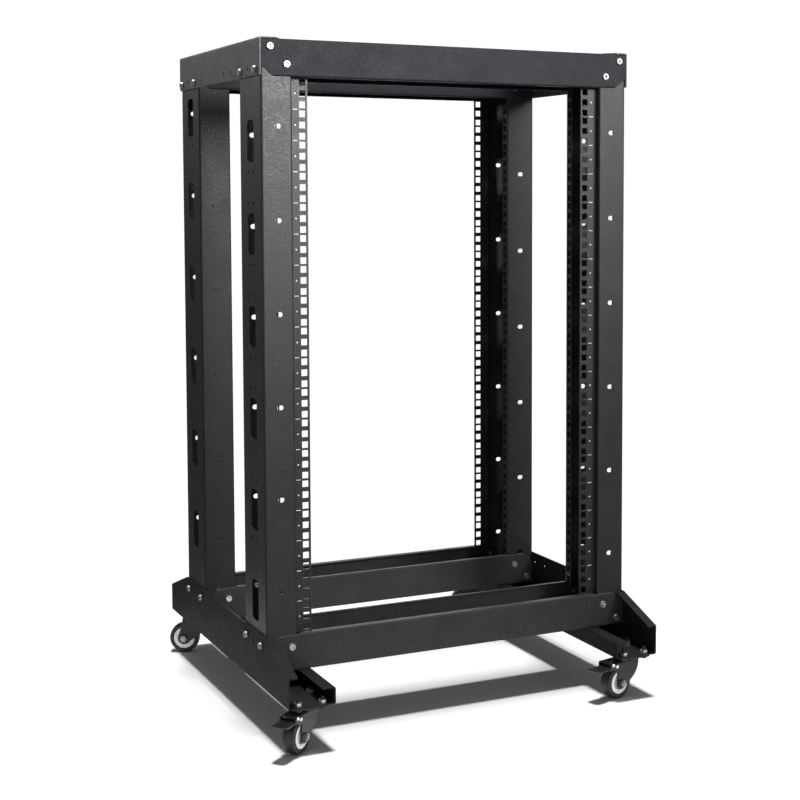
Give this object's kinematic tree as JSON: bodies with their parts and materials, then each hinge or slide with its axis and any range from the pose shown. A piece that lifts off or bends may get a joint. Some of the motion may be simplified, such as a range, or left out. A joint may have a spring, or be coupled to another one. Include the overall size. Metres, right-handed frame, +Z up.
{
  "type": "open frame equipment rack",
  "caption": "Open four-post rack frame for 19 inch audio equipment, with folded steel posts, cross beams, long feet and swivel casters, the front ones with brake pedals.",
  "frame": {"origin": "on the floor, at the centre of the footprint of the four posts and the two feet", "axes": "+X to the rack's right seen from the front, +Y to the back, +Z up; the front rails face -Y"},
  "size_m": [0.631, 0.6207, 1.0011],
  "materials": {
    "rail_paint": "fine matt black powder coat",
    "beam_paint": "fine matt black powder coat",
    "foot_paint": "fine matt black powder coat",
    "zinc": "bright zinc plate",
    "caster_paint": "satin black",
    "tyre_rubber": "matt rubber",
    "hub_plastic": "off-white moulded",
    "pedal_paint": "satin black"
  },
  "bodies": {
    "rack": {"post_front_left": "rail_paint", "post_front_right": "rail_paint", "post_rear_left": "rail_paint", "post_rear_right": "rail_paint", "top_beam_front": "beam_paint", "top_beam_rear": "beam_paint", "base_beam_front": "beam_paint", "base_beam_rear": "beam_paint", "top_side_member_left": "foot_paint", "base_foot_left": "foot_paint", "top_side_member_right": "foot_paint", "base_foot_right": "foot_paint", "top_beam_screws": "zinc", "top_beam_nuts": "zinc", "base_beam_screws": "zinc", "base_beam_nuts": "zinc", "side_member_screws": "zinc", "side_member_nuts": "zinc", "foot_screws": "zinc", "foot_nuts": "zinc", "caster_bolts": "zinc", "caster_nuts": "zinc", "caster_plate_front_left": "caster_paint", "kingpin_front_left": "zinc", "caster_plate_front_right": "caster_paint", "kingpin_front_right": "zinc", "caster_plate_rear_left": "caster_paint", "kingpin_rear_left": "zinc", "caster_plate_rear_right": "caster_paint", "kingpin_rear_right": "zinc"},
    "swivel_front_left": {"fork_front_left": "caster_paint", "swivel_race_front_left": "zinc", "axle_bolt_front_left": "zinc", "axle_nut_front_left": "zinc", "brake_pins_front_left": "zinc"},
    "wheel_front_left": {"tyre_front_left": "tyre_rubber", "wheel_hub_front_left": "hub_plastic"},
    "pedal_front_left": {"brake_pedal_front_left": "pedal_paint"},
    "swivel_front_right": {"fork_front_right": "caster_paint", "swivel_race_front_right": "zinc", "axle_bolt_front_right": "zinc", "axle_nut_front_right": "zinc", "brake_pins_front_right": "zinc"},
    "wheel_front_right": {"tyre_front_right": "tyre_rubber", "wheel_hub_front_right": "hub_plastic"},
    "pedal_front_right": {"brake_pedal_front_right": "pedal_paint"},
    "swivel_rear_left": {"fork_rear_left": "caster_paint", "swivel_race_rear_left": "zinc", "axle_bolt_rear_left": "zinc", "axle_nut_rear_left": "zinc"},
    "wheel_rear_left": {"tyre_rear_left": "tyre_rubber", "wheel_hub_rear_left": "hub_plastic"},
    "swivel_rear_right": {"fork_rear_right": "caster_paint", "swivel_race_rear_right": "zinc", "axle_bolt_rear_right": "zinc", "axle_nut_rear_right": "zinc"},
    "wheel_rear_right": {"tyre_rear_right": "tyre_rubber", "wheel_hub_rear_right": "hub_plastic"}
  },
  "joints": [
    {"name": "swivel_turn_front_left", "type": "hinge", "parent": "rack", "child": "swivel_front_left", "pos_m": [-0.265, -0.266, 0.06], "axis": [0, 0, 1], "continuous": true},
    {"name": "wheel_spin_front_left", "type": "hinge", "parent": "swivel_front_left", "child": "wheel_front_left", "pos_m": [-0.28185, -0.28014, 0.025], "axis": [0.6428, -0.766, 0], "continuous": true},
    {"name": "brake_press_front_left", "type": "hinge", "parent": "swivel_front_left", "child": "pedal_front_left", "pos_m": [-0.28951, -0.28657, 0.053], "axis": [0.6428, -0.766, 0], "range_deg": [0, 12]},
    {"name": "swivel_turn_front_right", "type": "hinge", "parent": "rack", "child": "swivel_front_right", "pos_m": [0.265, -0.266, 0.06], "axis": [0, 0, 1], "continuous": true},
    {"name": "wheel_spin_front_right", "type": "hinge", "parent": "swivel_front_right", "child": "wheel_front_right", "pos_m": [0.24375, -0.27169, 0.025], "axis": [0.2588, -0.9659, 0], "continuous": true},
    {"name": "brake_press_front_right", "type": "hinge", "parent": "swivel_front_right", "child": "pedal_front_right", "pos_m": [0.23409, -0.27428, 0.053], "axis": [0.2588, -0.9659, 0], "range_deg": [0, 12]},
    {"name": "swivel_turn_rear_left", "type": "hinge", "parent": "rack", "child": "swivel_rear_left", "pos_m": [-0.265, 0.266, 0.06], "axis": [0, 0, 1], "continuous": true},
    {"name": "wheel_spin_rear_left", "type": "hinge", "parent": "swivel_rear_left", "child": "wheel_rear_left", "pos_m": [-0.2846, 0.27599, 0.025], "axis": [-0.454, -0.891, 0], "continuous": true},
    {"name": "swivel_turn_rear_right", "type": "hinge", "parent": "rack", "child": "swivel_rear_right", "pos_m": [0.265, 0.266, 0.06], "axis": [0, 0, 1], "continuous": true},
    {"name": "wheel_spin_rear_right", "type": "hinge", "parent": "swivel_rear_right", "child": "wheel_rear_right", "pos_m": [0.24433, 0.27352, 0.025], "axis": [-0.342, -0.9397, 0], "continuous": true}
  ]
}
